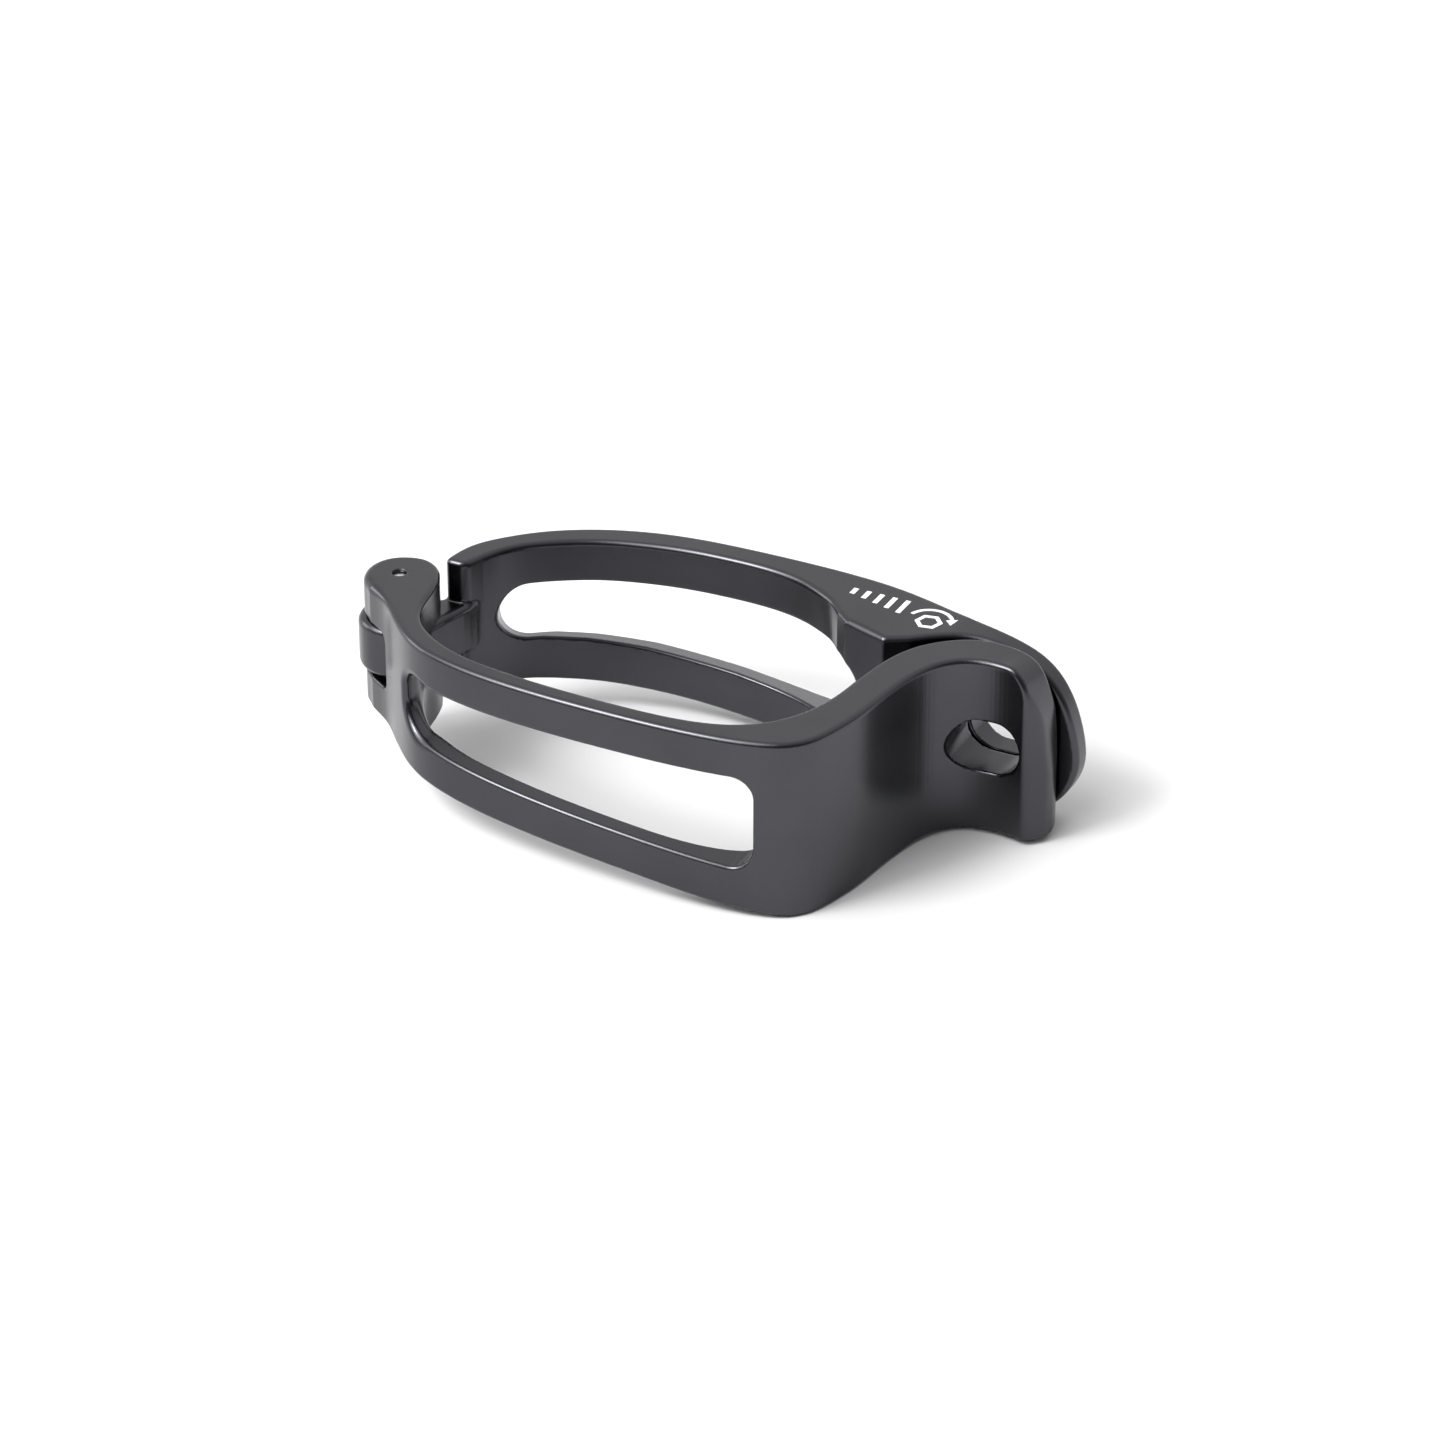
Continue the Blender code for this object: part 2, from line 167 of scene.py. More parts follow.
front_plan = (arc(EAR_X, EAR_Y, EAR_R, 25, 232, 60) + spline(FRONT_FLANK) + spline(FLANGE_BOW, 0.2)
              + spline(FRONT_SEAT))
end = rounded([(6.1, 7.0), (5.25, 4.60, 1.25), (2.75, 4.60, 0.7), (2.80, 5.6)])[1:-1]
face = spline([(62.0, CLAMP_FACE), (59.6, 15.1), (57.4, 14.3), (55.3, 12.9), (53.4, 11.3)])
nub = rounded([(53.4, 11.3), (51.2, 10.15, 0.55), (46.1, 11.85, 0.8), (44.5, 13.2)])[1:-1]
rear_plan = (spline(REAR_FLANK) + [(80, CLAMP_BACK), (80, CLAMP_FACE)] + face[:-1] + nub
             + spline(REAR_SEAT) + end)
lug_plan = arc(0, 0, KNUCKLE_R, 72, 350, 70) + [(4.75, 1.0), (5.1, 2.2), (5.47, 3.7), (5.67, 4.8), (5.80, 5.8), (5.65, 7.0), (3.2, 7.0),
                                               (2.76, 5.6), (2.3, 4.9), (1.9, 4.5)]
notch_plan = arc(0, 0, NOTCH_R, -130, 25, 50) + [(6.2, 9.5), (-9.5, 9.5), (-9.5, -4.0)]

# Upper corner of the flange, on its near face and on its back; lower down the
# plan above rules its end.
BOW = [(68.24, -4.19), (68.61, -5.28), (68.94, -6.96), (69.25, -9.3), (69.9, -12.5), (70.6, -21.0)]
front_near = (spline([(64.6, TOP), (65.6, -0.12), (66.2, -0.42), (66.75, -1.0), (67.2, -1.72), (67.62, -2.7)] + BOW, 0.3)
              + [(-20, -21.0), (-20, TOP)])
front_back = (spline([(61.8, TOP), (64.45, -0.27), (65.6, -0.62), (66.7, -1.3), (67.55, -2.5)] + BOW, 0.3)
              + [(-20, -21.0), (-20, TOP)])
rear_elev = (spline([(57.0, TOP), (60.5, -0.36), (63.8, -1.12), (66.05, -2.1), (67.8, -3.5), (69.25, -5.55),
                     (70.3, -8.1), (70.9, -10.6), (NOSE_END, -12.4), (70.8, -14.3), (69.95, -16.2),
                     (68.4, -18.1), (66.3, -19.4), (63.5, -FLANGE_H)], 0.3)
             + [(50.0, -21.0), (-20, -21.0), (-20, TOP)])


def window_shape(ends, y_mid, sill, r_hinge=3.4, r_low=3.4, r_flange=2.4, top=WIN_TOP):
    x0, x1 = ends

    def low(x):
        return -(SLOPE_0 + SLOPE_X * x + SLOPE_Y * y_mid) + sill
    knee = (FLANGE_H - SLOPE_0 - SLOPE_Y * y_mid) / SLOPE_X
    shape = [(x0, top, r_hinge), (x0, low(x0), r_low)]
    if knee < x1 - 4:
        shape += [(knee, -FLANGE_H + sill, 20.0), (x1, -FLANGE_H + sill, r_flange)]
    else:
        shape += [(x1, low(x1), r_flange)]
    return rounded(shape + [(x1, top, r_flange)])


# ------------------------------------------------- distance fields with slopes
# A field is (d, g): signed distance, negative inside, and its gradient.
class Outline:
    """A closed outline; each square of a coarse grid knows which edges can be nearest."""

    CELL = 2.0

    def __init__(self, poly):
        a = np.array(poly, float)
        a = a[np.hypot(*(np.roll(a, -1, 0) - a).T) > 1e-6]
        b = np.roll(a, -1, 0)
        if (a[:, 0] * b[:, 1] - b[:, 0] * a[:, 1]).sum() < 0:
            a = a[::-1]
            b = np.roll(a, -1, 0)
        self.a, self.e = a, b - a
        self.ee = (self.e ** 2).sum(1)
        self.len = np.sqrt(self.ee)
        self.near = {}

    def edges(self, cu, cv):
        key = (cu, cv)
        if key not in self.near:
            p = np.array([(cu + 0.5) * self.CELL, (cv + 0.5) * self.CELL])
            w = p - self.a
            t = np.clip((w * self.e).sum(1) / self.ee, 0, 1)
            q = np.hypot(*(w - t[:, None] * self.e).T)
            self.near[key] = np.nonzero(q <= q.min() + self.CELL * 1.4143)[0]
        return self.near[key]

    def __call__(self, u, v):
        """Signed distance (negative inside) and its slope along u and v."""
        key = np.round(u * 1e5).astype(np.int64) * (1 << 31) + np.round(v * 1e5).astype(np.int64)
        _, first, back = np.unique(key, return_index=True, return_inverse=True)
        u, v = u[first], v[first]
        cu, cv = np.floor(u / self.CELL).astype(int), np.floor(v / self.CELL).astype(int)
        cell = cu * 100000 + cv
        order = np.argsort(cell, kind='stable')
        cuts = np.nonzero(np.diff(cell[order]))[0] + 1
        d, gu, gv = np.empty(len(u)), np.empty(len(u)), np.empty(len(u))
        for group in np.split(order, cuts):
            if not len(group):
                continue
            k = self.edges(int(cu[group[0]]), int(cv[group[0]]))
            a, e, ee, ln = self.a[k], self.e[k], self.ee[k], self.len[k]
            wu = u[group, None] - a[None, :, 0]
            wv = v[group, None] - a[None, :, 1]
            t = np.clip((wu * e[:, 0] + wv * e[:, 1]) / ee, 0, 1)
            side = (wu * e[:, 1] - wv * e[:, 0]) / ln          # > 0 outside
            qu, qv = wu - t * e[:, 0], wv - t * e[:, 1]
            q2 = qu ** 2 + qv ** 2
            i = (q2 - 1e-7 * side ** 2).argmin(1)
            r = np.arange(len(group))
            dist = np.sqrt(q2[r, i])
            sign = np.where(side[r, i] > 0, 1.0, -1.0)
            on = dist < 1e-6
            safe = np.where(on, 1.0, dist)
            d[group] = sign * dist
            gu[group] = np.where(on, e[i, 1] / ln[i], sign * qu[r, i] / safe)
            gv[group] = np.where(on, -e[i, 0] / ln[i], sign * qv[r, i] / safe)
        return d[back], gu[back], gv[back]


class Field:
    def __init__(self, d, g):
        self.d, self.g = d, g

    def __neg__(self):
        return Field(-self.d, -self.g)


def sharp_max(a, b):
    pick = a.d > b.d
    return Field(np.where(pick, a.d, b.d), np.where(pick[:, None], a.g, b.g))


def sharp_min(a, b):
    return -sharp_max(-a, -b)


def round_max(a, b, r):
    """Intersection whose edge is rounded with radius r."""
    m = sharp_max(a, b)
    p, q = a.d + r, b.d + r
    both = (p > 0) & (q > 0)
    length = np.sqrt(np.where(both, p * p + q * q, 1.0))
    g = (p[:, None] * a.g + q[:, None] * b.g) / length[:, None]
    return Field(np.where(both, length - r, m.d), np.where(both[:, None], g, m.g))


def smooth_max(a, b, k):
    """Larger of two nearly parallel fields, with a soft change-over k wide."""
    h = np.clip(0.5 + 0.5 * (a.d - b.d) / k, 0.0, 1.0)
    return Field(b.d + (a.d - b.d) * h + k * h * (1 - h), b.g + (a.g - b.g) * h[:, None])


def round_min(a, b, r):
    """Union with a concave fillet of radius r."""
    return -round_max(-a, -b, r)


def along_z(p, poly):
    d, gu, gv = poly(p[:, 0], p[:, 1])
    return Field(d, np.stack([gu, gv, np.zeros_like(d)], 1))


def along_y(p, poly, shear=0.0, y0=0.0):
    d, gu, gv = poly(p[:, 0] - shear * (p[:, 1] - y0), p[:, 2])
    return Field(d, np.stack([gu, -shear * gu, gv], 1))


def slab(p, lo, hi):
    z = p[:, 2]
    up = np.zeros((len(z), 3))
    up[:, 2] = 1.0
    return sharp_max(Field(z - hi, up), Field(lo - z, -up))


def plane(p, normal, offset):
    n = np.array(normal, float)
    k = np.linalg.norm(n)
    return Field((p @ n - offset) / k, np.tile(n / k, (len(p), 1)))


def blend(a, b, t, slope):
    """From a (t = 0) to b (t = 1); slope is t's gradient."""
    return Field((1 - t) * a.d + t * b.d,
                 (1 - t)[:, None] * a.g + t[:, None] * b.g + (b.d - a.d)[:, None] * slope)


def ramp_up(x, lo, hi):
    t = np.clip((x - lo) / (hi - lo), 0.0, 1.0)
    return t * t * (3 - 2 * t)


def cylinder(p, r):
    rho = np.maximum(np.hypot(p[:, 0], p[:, 1]), 1e-6)
    return Field(rho - r, np.stack([p[:, 0] / rho, p[:, 1] / rho, np.zeros_like(rho)], 1))


def underside(p):
    # z >= -(SLOPE_0 + SLOPE_X x + SLOPE_Y y), a little lower towards the end
    # wall, where it meets a level part that rises again under the flange
    slope = plane(p, (-SLOPE_X, -SLOPE_Y, -1.0), SLOPE_0)
    slope.d = slope.d - 0.27 * ramp_up(p[:, 0], 34.0, 48.0)
    drop = FULL_H - (FULL_H - FLANGE_H) * ramp_up(p[:, 1], 2.0, 9.0)
    up = np.zeros((len(p), 3))
    up[:, 2] = -1.0
    level = Field(-p[:, 2] - drop, up)
    return smooth_max(slope, level, 0.25)


def stadium():
    c = SLOT_HALF - SLOT_R
    return ([(SLOT_X + c + SLOT_R * math.cos(t), SLOT_Z + SLOT_R * math.sin(t))
             for t in np.linspace(-math.pi / 2, math.pi / 2, 40)]
            + [(SLOT_X - c + SLOT_R * math.cos(t), SLOT_Z + SLOT_R * math.sin(t))
               for t in np.linspace(math.pi / 2, 3 * math.pi / 2, 40)])


FRONT_WINDOW = Outline(window_shape(FRONT_WIN, -15.5, FRONT_SILL, 2.2, 3.4))
REAR_WINDOW = Outline(window_shape(REAR_WIN, 17.0, REAR_SILL, 0.0, 0.0, 3.2, REAR_TOP))
SLOT = Outline(stadium())
FRONT_PLAN, REAR_PLAN = Outline(front_plan), Outline(rear_plan)
LUG_PLAN, NOTCH_PLAN = Outline(lug_plan), Outline(notch_plan)
FRONT_NEAR, FRONT_BACK, REAR_ELEV = Outline(front_near), Outline(front_back), Outline(rear_elev)
# middle of the rear wall, for the sill that falls outwards
REAR_MID = np.array([(0, 7.5), (4, 8.4), (7, 11.2), (10, 14.1), (14, 16.5), (20, 18.65), (30, 19.9), (38, 19.5), (80, 19.5)])


def hanger_field(p):
    t = np.clip((p[:, 1] - FLANGE_NEAR) / (FLANGE_BACK - FLANGE_NEAR), 0.0, 1.0)
    slope = np.zeros((len(p), 3))
    slope[:, 1] = np.where((t > 0) & (t < 1), 1.0 / (FLANGE_BACK - FLANGE_NEAR), 0.0)
    elev = blend(along_y(p, FRONT_NEAR), along_y(p, FRONT_BACK), t, slope)
    body = sharp_max(elev, underside(p))
    # softer on the ears' rim
    soft = EDGE + 0.35 * ramp_up(-p[:, 0], -1.5, 1.5)
    soft = soft + (0.30 - soft) * ramp_up(-p[:, 2], 11.5, 13.5)
    f = round_max(along_z(p, FRONT_PLAN), body, soft)
    # the window's hinge end has a wide soft edge
    f = round_max(f, -along_y(p, FRONT_WINDOW), 0.45 + 0.75 * ramp_up(-p[:, 0], -12.0, -8.0))
    notch = round_max(along_z(p, NOTCH_PLAN), slab(p, LOW_EAR_TOP, EAR_BOTTOM), 0.75)
    f = round_max(f, -notch, 0.30)
    f = round_max(f, -along_y(p, SLOT), 0.15)
    bore = sharp_max(cylinder(p, 1.30), plane(p, (0, 0, 1), -1.10))
    drift = sharp_max(cylinder(p, 0.75), plane(p, (0, 0, -1), 3.0))
    f = round_max(f, -bore, 0.12)
    return round_max(f, -drift, 0.10)


def jaw_field(p):
    body = sharp_max(along_y(p, REAR_ELEV), underside(p))
    # wider rounding on the wedge behind the flange
    wedge = np.exp(-((p[:, 0] - 48.5) / 3.0) ** 2 - ((p[:, 1] - 11.5) / 2.0) ** 2)
    f = round_max(along_z(p, REAR_PLAN), body, EDGE + 0.25 * wedge)
    lug = round_max(along_z(p, LUG_PLAN), slab(p, KNUCKLE_BOTTOM, KNUCKLE_TOP), 0.80)
    f = round_min(f, lug, 0.30)
    # the sill falls outwards, and further towards the flange
    mid = np.interp(p[:, 0], REAR_MID[:, 0], REAR_MID[:, 1])
    lift = 0.30 * (p[:, 1] - mid) + np.interp(p[:, 0], (10.0, 20.0, 42.0), (-0.20, -0.08, 0.24))
    fade = ramp_up(-p[:, 2], 7.0, 10.0)
    q = p.copy()
    q[:, 2] += np.clip(lift, -1.2, 1.2) * fade
    shape = along_y(q, REAR_WINDOW)
    shape.g[:, 1] += 0.30 * fade * (np.abs(lift) < 1.2) * shape.g[:, 2]
    hinge_end = plane(p, (-0.91, -0.41, 0), -9.75)
    win = round_max(shape, hinge_end, 3.2)
    win = sharp_max(win, plane(p, (0, -1, 0), -6.0))
    f = round_max(f, -win, 0.45)
    f = round_max(f, -along_y(p, SLOT), 0.18)
    return round_max(f, -cylinder(p, 1.30), 0.12)


# ------------------------------------------------------------- surface nets
def surface(name, field, lo, hi, h):
    """Closed quad mesh on the zero surface of a field, with exact normals."""
    lo, hi = np.array(lo, float), np.array(hi, float)
    n = np.ceil((hi - lo) / h).astype(int) + 1
    axes = [lo[i] + h * np.arange(n[i]) for i in range(3)]
    # coarse pass first, so that the fine one is only worked out near the surface
    k = 4
    coarse = [a[::k] for a in axes]
    cg = np.stack(np.meshgrid(*coarse, indexing='ij'), -1)
    shape = cg.shape[:3]
    cd = field(cg.reshape(-1, 3)).d.reshape(shape)
    near = np.abs(cd) < k * h * 1.75 + 0.2
    grow = near.copy()
    for ax in range(3):
        grow |= np.roll(near, -1, ax) | np.roll(near, 1, ax)
    idx = [np.minimum(np.arange(n[i]) // k, shape[i] - 1) for i in range(3)]
    fine_near = grow[np.ix_(*idx)]
    value = cd[np.ix_(*idx)].copy()
    where = np.nonzero(fine_near)
    pts = np.stack([axes[i][where[i]] for i in range(3)], 1)
    value[where] = field(pts).d
    s = value < 0
    corners = [(i, j, l) for i in (0, 1) for j in (0, 1) for l in (0, 1)]

    def part(a, c):
        return a[c[0]:a.shape[0] - 1 + c[0], c[1]:a.shape[1] - 1 + c[1], c[2]:a.shape[2] - 1 + c[2]]
    count = sum(part(s, c).astype(np.int8) for c in corners)
    mask = (count > 0) & (count < 8)
    cells = np.stack(np.nonzero(mask), 1)
    number = -np.ones(mask.shape, int)
    number[mask] = np.arange(len(cells))
    total = np.zeros((len(cells), 3))
    hits = np.zeros(len(cells))
    for c in corners:
        for ax in range(3):
            if c[ax]:
                continue
            e = list(c)
            e[ax] = 1
            va = value[tuple((cells + c).T)]
            vb = value[tuple((cells + e).T)]
            cross = (va < 0) != (vb < 0)
            t = np.where(cross, va / np.where(cross, va - vb, 1.0), 0.0)
            q = np.tile(np.array(c, float), (len(cells), 1))
            q[:, ax] += t
            total[cross] += q[cross]
            hits[cross] += 1
    verts = lo + (cells + total / hits[:, None]) * h
    quads = []
    for ax in range(3):
        u, v = (ax + 1) % 3, (ax + 2) % 3
        a = np.take(s, range(0, n[ax] - 1), ax)
        b = np.take(s, range(1, n[ax]), ax)
        e = np.stack(np.nonzero(a != b), 1)
        inside_first = a[tuple(e.T)]
        e = e[(e[:, u] > 0) & (e[:, v] > 0) & (e[:, u] < n[u] - 1) & (e[:, v] < n[v] - 1)]
        inside_first = a[tuple(e.T)]
        four = []
        for du, dv in ((-1, -1), (0, -1), (0, 0), (-1, 0)):
            o = e.copy()
            o[:, u] += du
            o[:, v] += dv
            four.append(number[tuple(o.T)])
        q = np.stack(four, 1)
        q[~inside_first] = q[~inside_first][:, ::-1]
        quads.append(q)
    quads = np.concatenate(quads)
    # slide every vertex on to the exact surface
    for _ in range(4):
        f = field(verts)
        step = (f.d / np.maximum((f.g ** 2).sum(1), 0.2))[:, None] * f.g
        size = np.linalg.norm(step, axis=1, keepdims=True)
        verts -= step * np.minimum(1.0, 0.35 * h / np.maximum(size, 1e-9))
    g = field(verts).g
    normals = g / np.maximum(np.linalg.norm(g, axis=1, keepdims=True), 1e-9)
    mesh = bpy.data.meshes.new(name)
    world = verts * MM + np.array(AXIS)
    mesh.from_pydata(world.tolist(), [], quads.tolist())
    mesh.validate()
    mesh.shade_smooth()
    mesh.normals_split_custom_set_from_vertices(normals.tolist())
    print(name, len(mesh.vertices), "vertices", sum(len(f.vertices) - 2 for f in mesh.polygons), "triangles")
    obj = bpy.data.objects.new(name, mesh)
    bpy.context.scene.collection.objects.link(obj)
    return obj


FINE = 0.26
front = surface("hanger_jaw_fine", hanger_field, (-4.9, -16.9, -20.9), (70.1, 15.7, 0.55), FINE)
rear = surface("clamp_jaw_fine", jaw_field, (-5.1, -5.1, -20.9), (71.8, 22.3, 0.55), FINE)
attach(front, "hanger")
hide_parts("hanger_jaw")
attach(rear, "jaw")
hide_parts("clamp_jaw")


# ------------------------------------------------------------- hinge pin
def turned(name, profile, sides=72):
    bm = bmesh.new()
    rings = []
    for r, z in profile:
        if r == 0:
            rings.append([bm.verts.new((AXIS.x, AXIS.y, AXIS.z + z * MM))])
        else:
            rings.append([bm.verts.new((AXIS.x + r * MM * math.cos(2 * math.pi * i / sides),
                                        AXIS.y + r * MM * math.sin(2 * math.pi * i / sides),
                                        AXIS.z + z * MM)) for i in range(sides)])
    for a, b in zip(rings[:-1], rings[1:]):
        for i in range(sides):
            j = (i + 1) % sides
            loop = [a[i % len(a)], a[j % len(a)], b[j % len(b)], b[i % len(b)]]
            loop = list(dict.fromkeys(loop))
            if len(loop) > 2:
                bm.faces.new(loop)
    bmesh.ops.recalc_face_normals(bm, faces=bm.faces)
    mesh = bpy.data.meshes.new(name)
    bm.to_mesh(mesh)
    bm.free()
    mesh.shade_smooth()
    mesh.set_sharp_from_angle(angle=math.radians(35))
    obj = bpy.data.objects.new(name, mesh)
    bpy.context.scene.collection.objects.link(obj)
    return obj


pin = turned("hinge_pin_fine", [(0, -14.30), (0.85, -14.30), (1.02, -14.26), (1.16, -14.15), (1.25, -13.95),
                                (1.25, -1.62), (1.20, -1.45), (1.08, -1.36), (0.9, -1.32), (0.70, -1.32),
                                (0.70, -0.50), (0.66, -0.40), (0.56, -0.35), (0, -0.34)])
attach(pin, "hanger")
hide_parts("hinge_pin")


# ------------------------------------------------------------- materials
def nodes_of(name):
    mat = bpy.data.materials.new(name)
    mat.use_nodes = True
    tree = mat.node_tree
    return mat, tree, tree.nodes["Principled BSDF"]


def anodised(name, seed):
    """Black anodised aluminium over a fine blasted surface."""
    mat, tree, bsdf = nodes_of(name)
    new, link = tree.nodes.new, tree.links.new
    coord = new("ShaderNodeTexCoord")
    shift = new("ShaderNodeMapping")
    shift.inputs["Location"].default_value = (seed, seed * 0.37, -seed * 0.61)
    link(coord.outputs["Object"], shift.inputs["Vector"])
    # slow changes of the dye's depth
    cloud = new("ShaderNodeTexNoise")
    cloud.inputs["Scale"].default_value = 70.0
    cloud.inputs["Detail"].default_value = 3.0
    link(shift.outputs["Vector"], cloud.inputs["Vector"])
    # grain of the blasted surface, about 0.08 mm
    grain = new("ShaderNodeTexNoise")
    grain.inputs["Scale"].default_value = 9000.0
    grain.inputs["Detail"].default_value = 2.0
    link(shift.outputs["Vector"], grain.inputs["Vector"])
    ramp = new("ShaderNodeValToRGB")
    ramp.color_ramp.elements[0].position = 0.30
    ramp.color_ramp.elements[0].color = (0.060, 0.060, 0.066, 1)
    ramp.color_ramp.elements[1].position = 0.70
    ramp.color_ramp.elements[1].color = (0.073, 0.073, 0.080, 1)
    link(cloud.outputs["Fac"], ramp.inputs["Fac"])
    speck = new("ShaderNodeMix")
    speck.data_type = 'RGBA'
    speck.blend_type = 'OVERLAY'
    speck.inputs["Factor"].default_value = 0.16
    link(ramp.outputs["Color"], speck.inputs["A"])
    link(grain.outputs["Color"], speck.inputs["B"])
    tint = new("ShaderNodeSeparateColor")
    link(grain.outputs["Color"], tint.inputs["Color"])
    grey = new("ShaderNodeCombineColor")
    for c in ("Red", "Green", "Blue"):
        link(tint.outputs["Red"], grey.inputs[c])
    link(grey.outputs["Color"], speck.inputs["B"])
    link(speck.outputs["Result"], bsdf.inputs["Base Color"])
    rough = new("ShaderNodeMapRange")
    rough.inputs["To Min"].default_value = 0.22
    rough.inputs["To Max"].default_value = 0.29
    link(cloud.outputs["Fac"], rough.inputs["Value"])
    link(rough.outputs["Result"], bsdf.inputs["Roughness"])
    bump = new("ShaderNodeBump")
    bump.inputs["Strength"].default_value = 0.10
    bump.inputs["Distance"].default_value = 0.00002
    link(grain.outputs["Fac"], bump.inputs["Height"])
    link(bump.outputs["Normal"], bsdf.inputs["Normal"])
    bsdf.inputs["Metallic"].default_value = 1.0
    bsdf.inputs["IOR"].default_value = 1.5
    return mat


def steel(name):
    mat, tree, bsdf = nodes_of(name)
    new, link = tree.nodes.new, tree.links.new
    coord = new("ShaderNodeTexCoord")
    squash = new("ShaderNodeMapping")
    squash.inputs["Scale"].default_value = (1.0, 1.0, 40.0)
    link(coord.outputs["Object"], squash.inputs["Vector"])
    lines = new("ShaderNodeTexNoise")
    lines.inputs["Scale"].default_value = 900.0
    lines.inputs["Detail"].default_value = 3.0
    link(squash.outputs["Vector"], lines.inputs["Vector"])
    ramp = new("ShaderNodeValToRGB")
    ramp.color_ramp.elements[0].position = 0.3
    ramp.color_ramp.elements[0].color = (0.55, 0.54, 0.53, 1)
    ramp.color_ramp.elements[1].position = 0.7
    ramp.color_ramp.elements[1].color = (0.70, 0.69, 0.68, 1)
    link(lines.outputs["Fac"], ramp.inputs["Fac"])
    link(ramp.outputs["Color"], bsdf.inputs["Base Color"])
    rough = new("ShaderNodeMapRange")
    rough.inputs["To Min"].default_value = 0.20
    rough.inputs["To Max"].default_value = 0.34
    link(lines.outputs["Fac"], rough.inputs["Value"])
    link(rough.outputs["Result"], bsdf.inputs["Roughness"])
    bsdf.inputs["Metallic"].default_value = 1.0
    return mat


# ------------------------------------------------------------- printed symbol
# A plain torque symbol, a hexagon with a turning arrow and a scale of ticks,
# screen-printed in white on the wedge's upper face.
def polygon_ring(cx, cy, outer, inner, sides, turn):
    a = [(cx + outer * math.cos(turn + 2 * math.pi * i / sides), cy + outer * math.sin(turn + 2 * math.pi * i / sides))
         for i in range(sides)]
    b = [(cx + inner * math.cos(turn + 2 * math.pi * i / sides), cy + inner * math.sin(turn + 2 * math.pi * i / sides))
         for i in range(sides)]
    return [[a[i], a[(i + 1) % sides], b[(i + 1) % sides], b[i]] for i in range(sides)]


def arrow(cx, cy, r, width, start, stop, n=26):
    lo, hi = r - width / 2, r + width / 2
    ang = [math.radians(start + (stop - start) * i / n) for i in range(n + 1)]
    strip = [[(cx + lo * math.cos(p), cy + lo * math.sin(p)), (cx + hi * math.cos(p), cy + hi * math.sin(p)),
              (cx + hi * math.cos(q), cy + hi * math.sin(q)), (cx + lo * math.cos(q), cy + lo * math.sin(q))]
             for p, q in zip(ang[:-1], ang[1:])]
    t = ang[-1]
    tip = t + math.copysign(1.15 / r, stop - start)
    head = [(cx + (r - 0.62) * math.cos(t), cy + (r - 0.62) * math.sin(t)),
            (cx + (r + 0.62) * math.cos(t), cy + (r + 0.62) * math.sin(t)),
            (cx + r * math.cos(tip), cy + r * math.sin(tip))]
    return strip, head


def printed(name, shapes, z0, z1):
    """Each shape is a list of polygons that share edges; it becomes one closed slab."""
    bm = bmesh.new()
    for polys in shapes:
        for ring in (polys,):
            verts = {}
            edges = {}
            for poly in ring:
                area = sum(poly[i][0] * poly[(i + 1) % len(poly)][1] - poly[(i + 1) % len(poly)][0] * poly[i][1]
                           for i in range(len(poly)))
                poly = poly if area > 0 else poly[::-1]
                keys = [(round(x, 4), round(y, 4)) for x, y in poly]
                for k in keys:
                    if k not in verts:
                        verts[k] = [bm.verts.new((AXIS.x + k[0] * MM, AXIS.y + k[1] * MM, AXIS.z + z * MM))
                                    for z in (z0, z1)]
                bm.faces.new([verts[k][1] for k in keys])
                bm.faces.new([verts[k][0] for k in keys][::-1])
                for a, b in zip(keys, keys[1:] + keys[:1]):
                    edges[(a, b)] = True
            for a, b in edges:
                if (b, a) not in edges:
                    bm.faces.new((verts[a][0], verts[b][0], verts[b][1], verts[a][1]))
    mesh = bpy.data.meshes.new(name)
    bm.to_mesh(mesh)
    bm.free()
    obj = bpy.data.objects.new(name, mesh)
    bpy.context.scene.collection.objects.link(obj)
    return obj


strip, head = arrow(53.9, 15.65, 2.35, 0.42, 165.0, 30.0)
ticks = [[[(x, 18.95 - 0.9 - h), (x + 0.55, 18.95 - 0.9 - h), (x + 0.55, 18.95 - 0.4), (x, 18.95 - 0.4)]]
         for x, h in ((49.9, 2.3), (48.4, 1.9), (46.9, 1.5), (45.4, 1.1), (43.9, 0.7))]
symbol = printed("torque_symbol", [polygon_ring(53.9, 15.45, 1.50, 0.98, 6, math.radians(12)), strip, [head]] + ticks,
                 TOP - 0.01, TOP + 0.02)
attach(symbol, "jaw")


def ink(name):
    mat, tree, bsdf = nodes_of(name)
    new, link = tree.nodes.new, tree.links.new
    coord = new("ShaderNodeTexCoord")
    wear = new("ShaderNodeTexNoise")
    wear.inputs["Scale"].default_value = 1800.0
    wear.inputs["Detail"].default_value = 4.0
    link(coord.outputs["Object"], wear.inputs["Vector"])
    ramp = new("ShaderNodeValToRGB")
    ramp.color_ramp.elements[0].position = 0.28
    ramp.color_ramp.elements[0].color = (0.62, 0.62, 0.63, 1)
    ramp.color_ramp.elements[1].position = 0.50
    ramp.color_ramp.elements[1].color = (0.85, 0.85, 0.86, 1)
    link(wear.outputs["Fac"], ramp.inputs["Fac"])
    link(ramp.outputs["Color"], bsdf.inputs["Base Color"])
    rough = new("ShaderNodeMapRange")
    rough.inputs["To Min"].default_value = 0.55
    rough.inputs["To Max"].default_value = 0.75
    link(wear.outputs["Fac"], rough.inputs["Value"])
    link(rough.outputs["Result"], bsdf.inputs["Roughness"])
    return mat


symbol.data.materials.append(ink("white_ink"))
front.data.materials.append(anodised("black_anodised_front", 0.13))
rear.data.materials.append(anodised("black_anodised_rear", 0.71))
pin.data.materials.append(steel("ground_steel"))


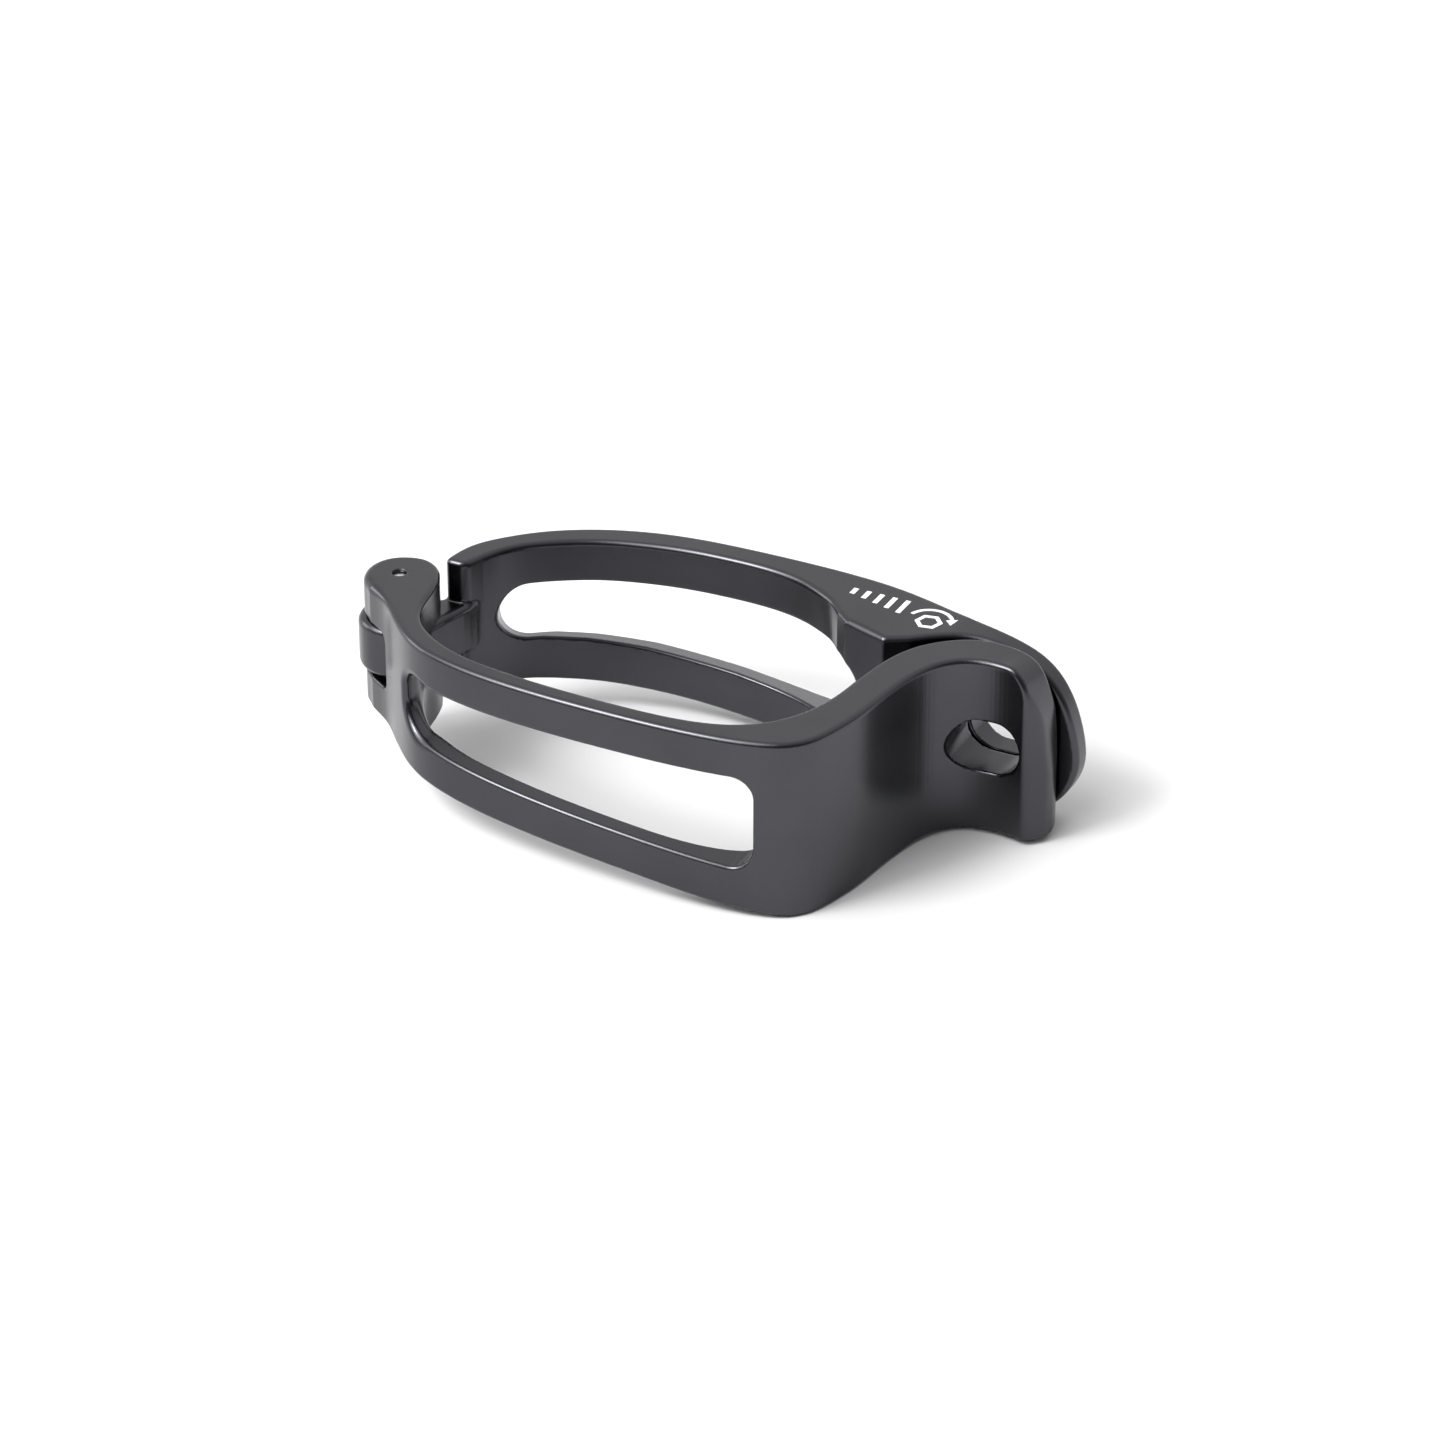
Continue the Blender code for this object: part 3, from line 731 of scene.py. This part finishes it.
# ------------------------------------------------------------- camera
# 27 degrees round from +Y, 30 degrees above the level faces, a long lens.
AZ, EL = math.radians(27.0), math.radians(30.0)
right = Vector((math.cos(AZ), math.sin(AZ), 0.0))
forward = Vector((-math.sin(AZ) * math.cos(EL), math.cos(AZ) * math.cos(EL), -math.sin(EL)))
up = right.cross(forward)
FOCAL = 5900.0 / 1445.0        # focal length in frame widths
target = AXIS + Vector((44.407, -12.717, 0.0)) * MM
place = target - forward * 0.590
cam_data = bpy.data.cameras.new("camera")
cam_data.sensor_width = 36.0
cam_data.lens = 36.0 * FOCAL
cam_data.clip_start = 0.01
cam_data.clip_end = 20.0
cam = bpy.data.objects.new("camera", cam_data)
m = Matrix((right, up, -forward)).transposed().to_4x4()
m.translation = place
cam.matrix_world = m
bpy.context.scene.collection.objects.link(cam)
bpy.context.scene.camera = cam

# ------------------------------------------------------------- floor and light
floor_z = cad_box[0][2] - 0.00005


def plate(name, x, y, sx, sy, z):
    mesh = bpy.data.meshes.new(name)
    mesh.from_pydata([(x - sx, y - sy, z), (x + sx, y - sy, z), (x + sx, y + sy, z), (x - sx, y + sy, z)],
                     [], [(0, 1, 2, 3)])
    obj = bpy.data.objects.new(name, mesh)
    bpy.context.scene.collection.objects.link(obj)
    return obj


floor = plate("floor", 0, 0, 3.0, 3.0, floor_z)
fmat, ftree, fb = nodes_of("pale_floor")
fb.inputs["Base Color"].default_value = (0.74, 0.74, 0.745, 1)
fb.inputs["Roughness"].default_value = 0.9
fb.inputs["Specular IOR Level"].default_value = 0.1
floor.data.materials.append(fmat)

# A white sweep behind and a dimmer room in front, as in a light tent.
world = bpy.data.worlds.new("studio")
world.use_nodes = True
wt = world.node_tree
back = wt.nodes["Background"]
geo = wt.nodes.new("ShaderNodeTexCoord")
dot = wt.nodes.new("ShaderNodeVectorMath")
dot.operation = 'DOT_PRODUCT'
dot.inputs[1].default_value = (-0.42, 0.80, 0.43)
tone = wt.nodes.new("ShaderNodeValToRGB")
tone.color_ramp.elements[0].position = 0.30
tone.color_ramp.elements[0].color = (0.16, 0.16, 0.17, 1)
tone.color_ramp.elements[1].position = 0.85
tone.color_ramp.elements[1].color = (1.0, 1.0, 1.0, 1)
half = wt.nodes.new("ShaderNodeMath")
half.operation = 'MULTIPLY_ADD'
half.inputs[1].default_value = 0.5
half.inputs[2].default_value = 0.5
wt.links.new(geo.outputs["Generated"], dot.inputs[0])
wt.links.new(dot.outputs["Value"], half.inputs[0])
wt.links.new(half.outputs[0], tone.inputs["Fac"])
# a broad soft box over the left shoulder
aim = wt.nodes.new("ShaderNodeVectorMath")
aim.operation = 'DOT_PRODUCT'
aim.inputs[1].default_value = (-0.39, -0.50, 0.77)
glow = wt.nodes.new("ShaderNodeMapRange")
glow.interpolation_type = 'SMOOTHSTEP'
glow.inputs["From Min"].default_value = 0.80
glow.inputs["From Max"].default_value = 0.97
glow.inputs["To Min"].default_value = 0.0
glow.inputs["To Max"].default_value = 3.8
both = wt.nodes.new("ShaderNodeVectorMath")
both.operation = 'ADD'
wt.links.new(geo.outputs["Generated"], aim.inputs[0])
wt.links.new(aim.outputs["Value"], glow.inputs["Value"])
wt.links.new(tone.outputs["Color"], both.inputs[0])
wt.links.new(glow.outputs["Result"], both.inputs[1])
wt.links.new(both.outputs["Vector"], back.inputs["Color"])
back.inputs["Strength"].default_value = 1.0
bpy.context.scene.world = world
bpy.context.scene.view_settings.view_transform = 'Standard'


def area(name, loc, look, size, power, size_y=None):
    data = bpy.data.lights.new(name, 'AREA')
    data.shape = 'RECTANGLE'
    data.size = size
    data.size_y = size_y or size
    data.energy = power
    obj = bpy.data.objects.new(name, data)
    obj.location = loc
    obj.rotation_euler = (Vector(look) - Vector(loc)).to_track_quat('-Z', 'Y').to_euler()
    bpy.context.scene.collection.objects.link(obj)
    return obj


area("overhead", (-0.39, -0.50, 0.77), (0, 0, 0), 0.30, 6.0)
area("side", (-0.9, -0.10, 0.30), (0, 0, 0), 0.4, 2.0)
